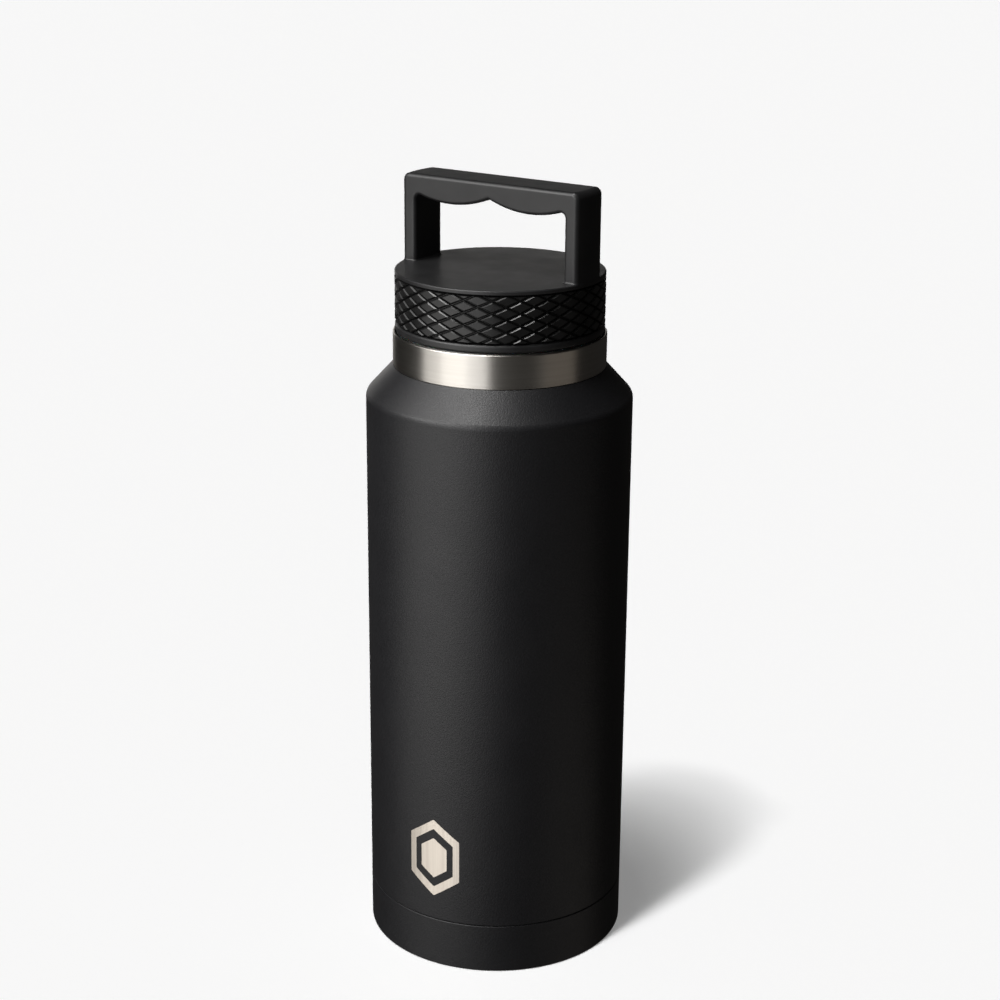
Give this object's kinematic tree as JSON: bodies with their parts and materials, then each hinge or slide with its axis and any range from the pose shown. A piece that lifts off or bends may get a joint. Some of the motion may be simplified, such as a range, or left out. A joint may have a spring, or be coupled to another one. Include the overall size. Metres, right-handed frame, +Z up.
{
  "type": "insulated water bottle",
  "caption": "Tall black vacuum-insulated steel water bottle with a bare steel neck and a knurled screw lid carrying a rigid rectangular handle.",
  "frame": {"origin": "centre of the circle that the bottle stands on, at the bottom of its foot ring", "axes": "+Z up along the bottle's axis; X along the lid's handle; the mark on the side faces about 5 degrees from -Y, towards +X"},
  "size_m": [0.09, 0.09, 0.2678],
  "materials": {
    "powder_coat": "fine matte black powder coat",
    "neck_steel": "brushed round the neck",
    "vessel_steel": "satin bare stainless steel",
    "screw_steel": "zinc-plated",
    "copper": "bright copper foil",
    "solder_glass": "glossy sealing glass",
    "getter_alloy": "sintered",
    "lid_plastic": "satin black moulded plastic",
    "grip_plastic": "black, knurled in diamonds",
    "plug_plastic": "dark grey moulded plastic",
    "foam": "white insulating foam",
    "silicone": "translucent grey silicone"
  },
  "bodies": {
    "bottle": {"outer_wall": "powder_coat", "neck_collar": "neck_steel", "inner_vessel": "vessel_steel", "inner_base": "vessel_steel", "copper_foil": "copper", "base_cup": "powder_coat", "base_disc": "powder_coat", "vacuum_seal": "solder_glass", "getter_holder": "vessel_steel", "getter_pellet": "getter_alloy"},
    "lid_carrier": {"lid_gasket": "silicone"},
    "lid": {"lid_top_handle": "lid_plastic", "grip_band": "grip_plastic", "lid_body": "lid_plastic", "lid_screw_1": "screw_steel", "lid_screw_2": "screw_steel", "lid_screw_3": "screw_steel", "lid_screw_4": "screw_steel", "lid_plug": "plug_plastic", "plug_foam": "foam", "plug_cover": "plug_plastic"}
  },
  "joints": [
    {"name": "lid_lift", "type": "slide", "parent": "bottle", "child": "lid_carrier", "axis": [0, 0, 1], "range_m": [0, 0.036]},
    {"name": "lid_turn", "type": "hinge", "parent": "lid_carrier", "child": "lid", "pos_m": [0, 0, 0.2176], "axis": [0, 0, 1], "range_deg": [0, 1440]}
  ],
  "couplings": [
    {"joint": "lid_lift", "follows": "lid_turn", "m_per_rad": 0.0014324}
  ]
}
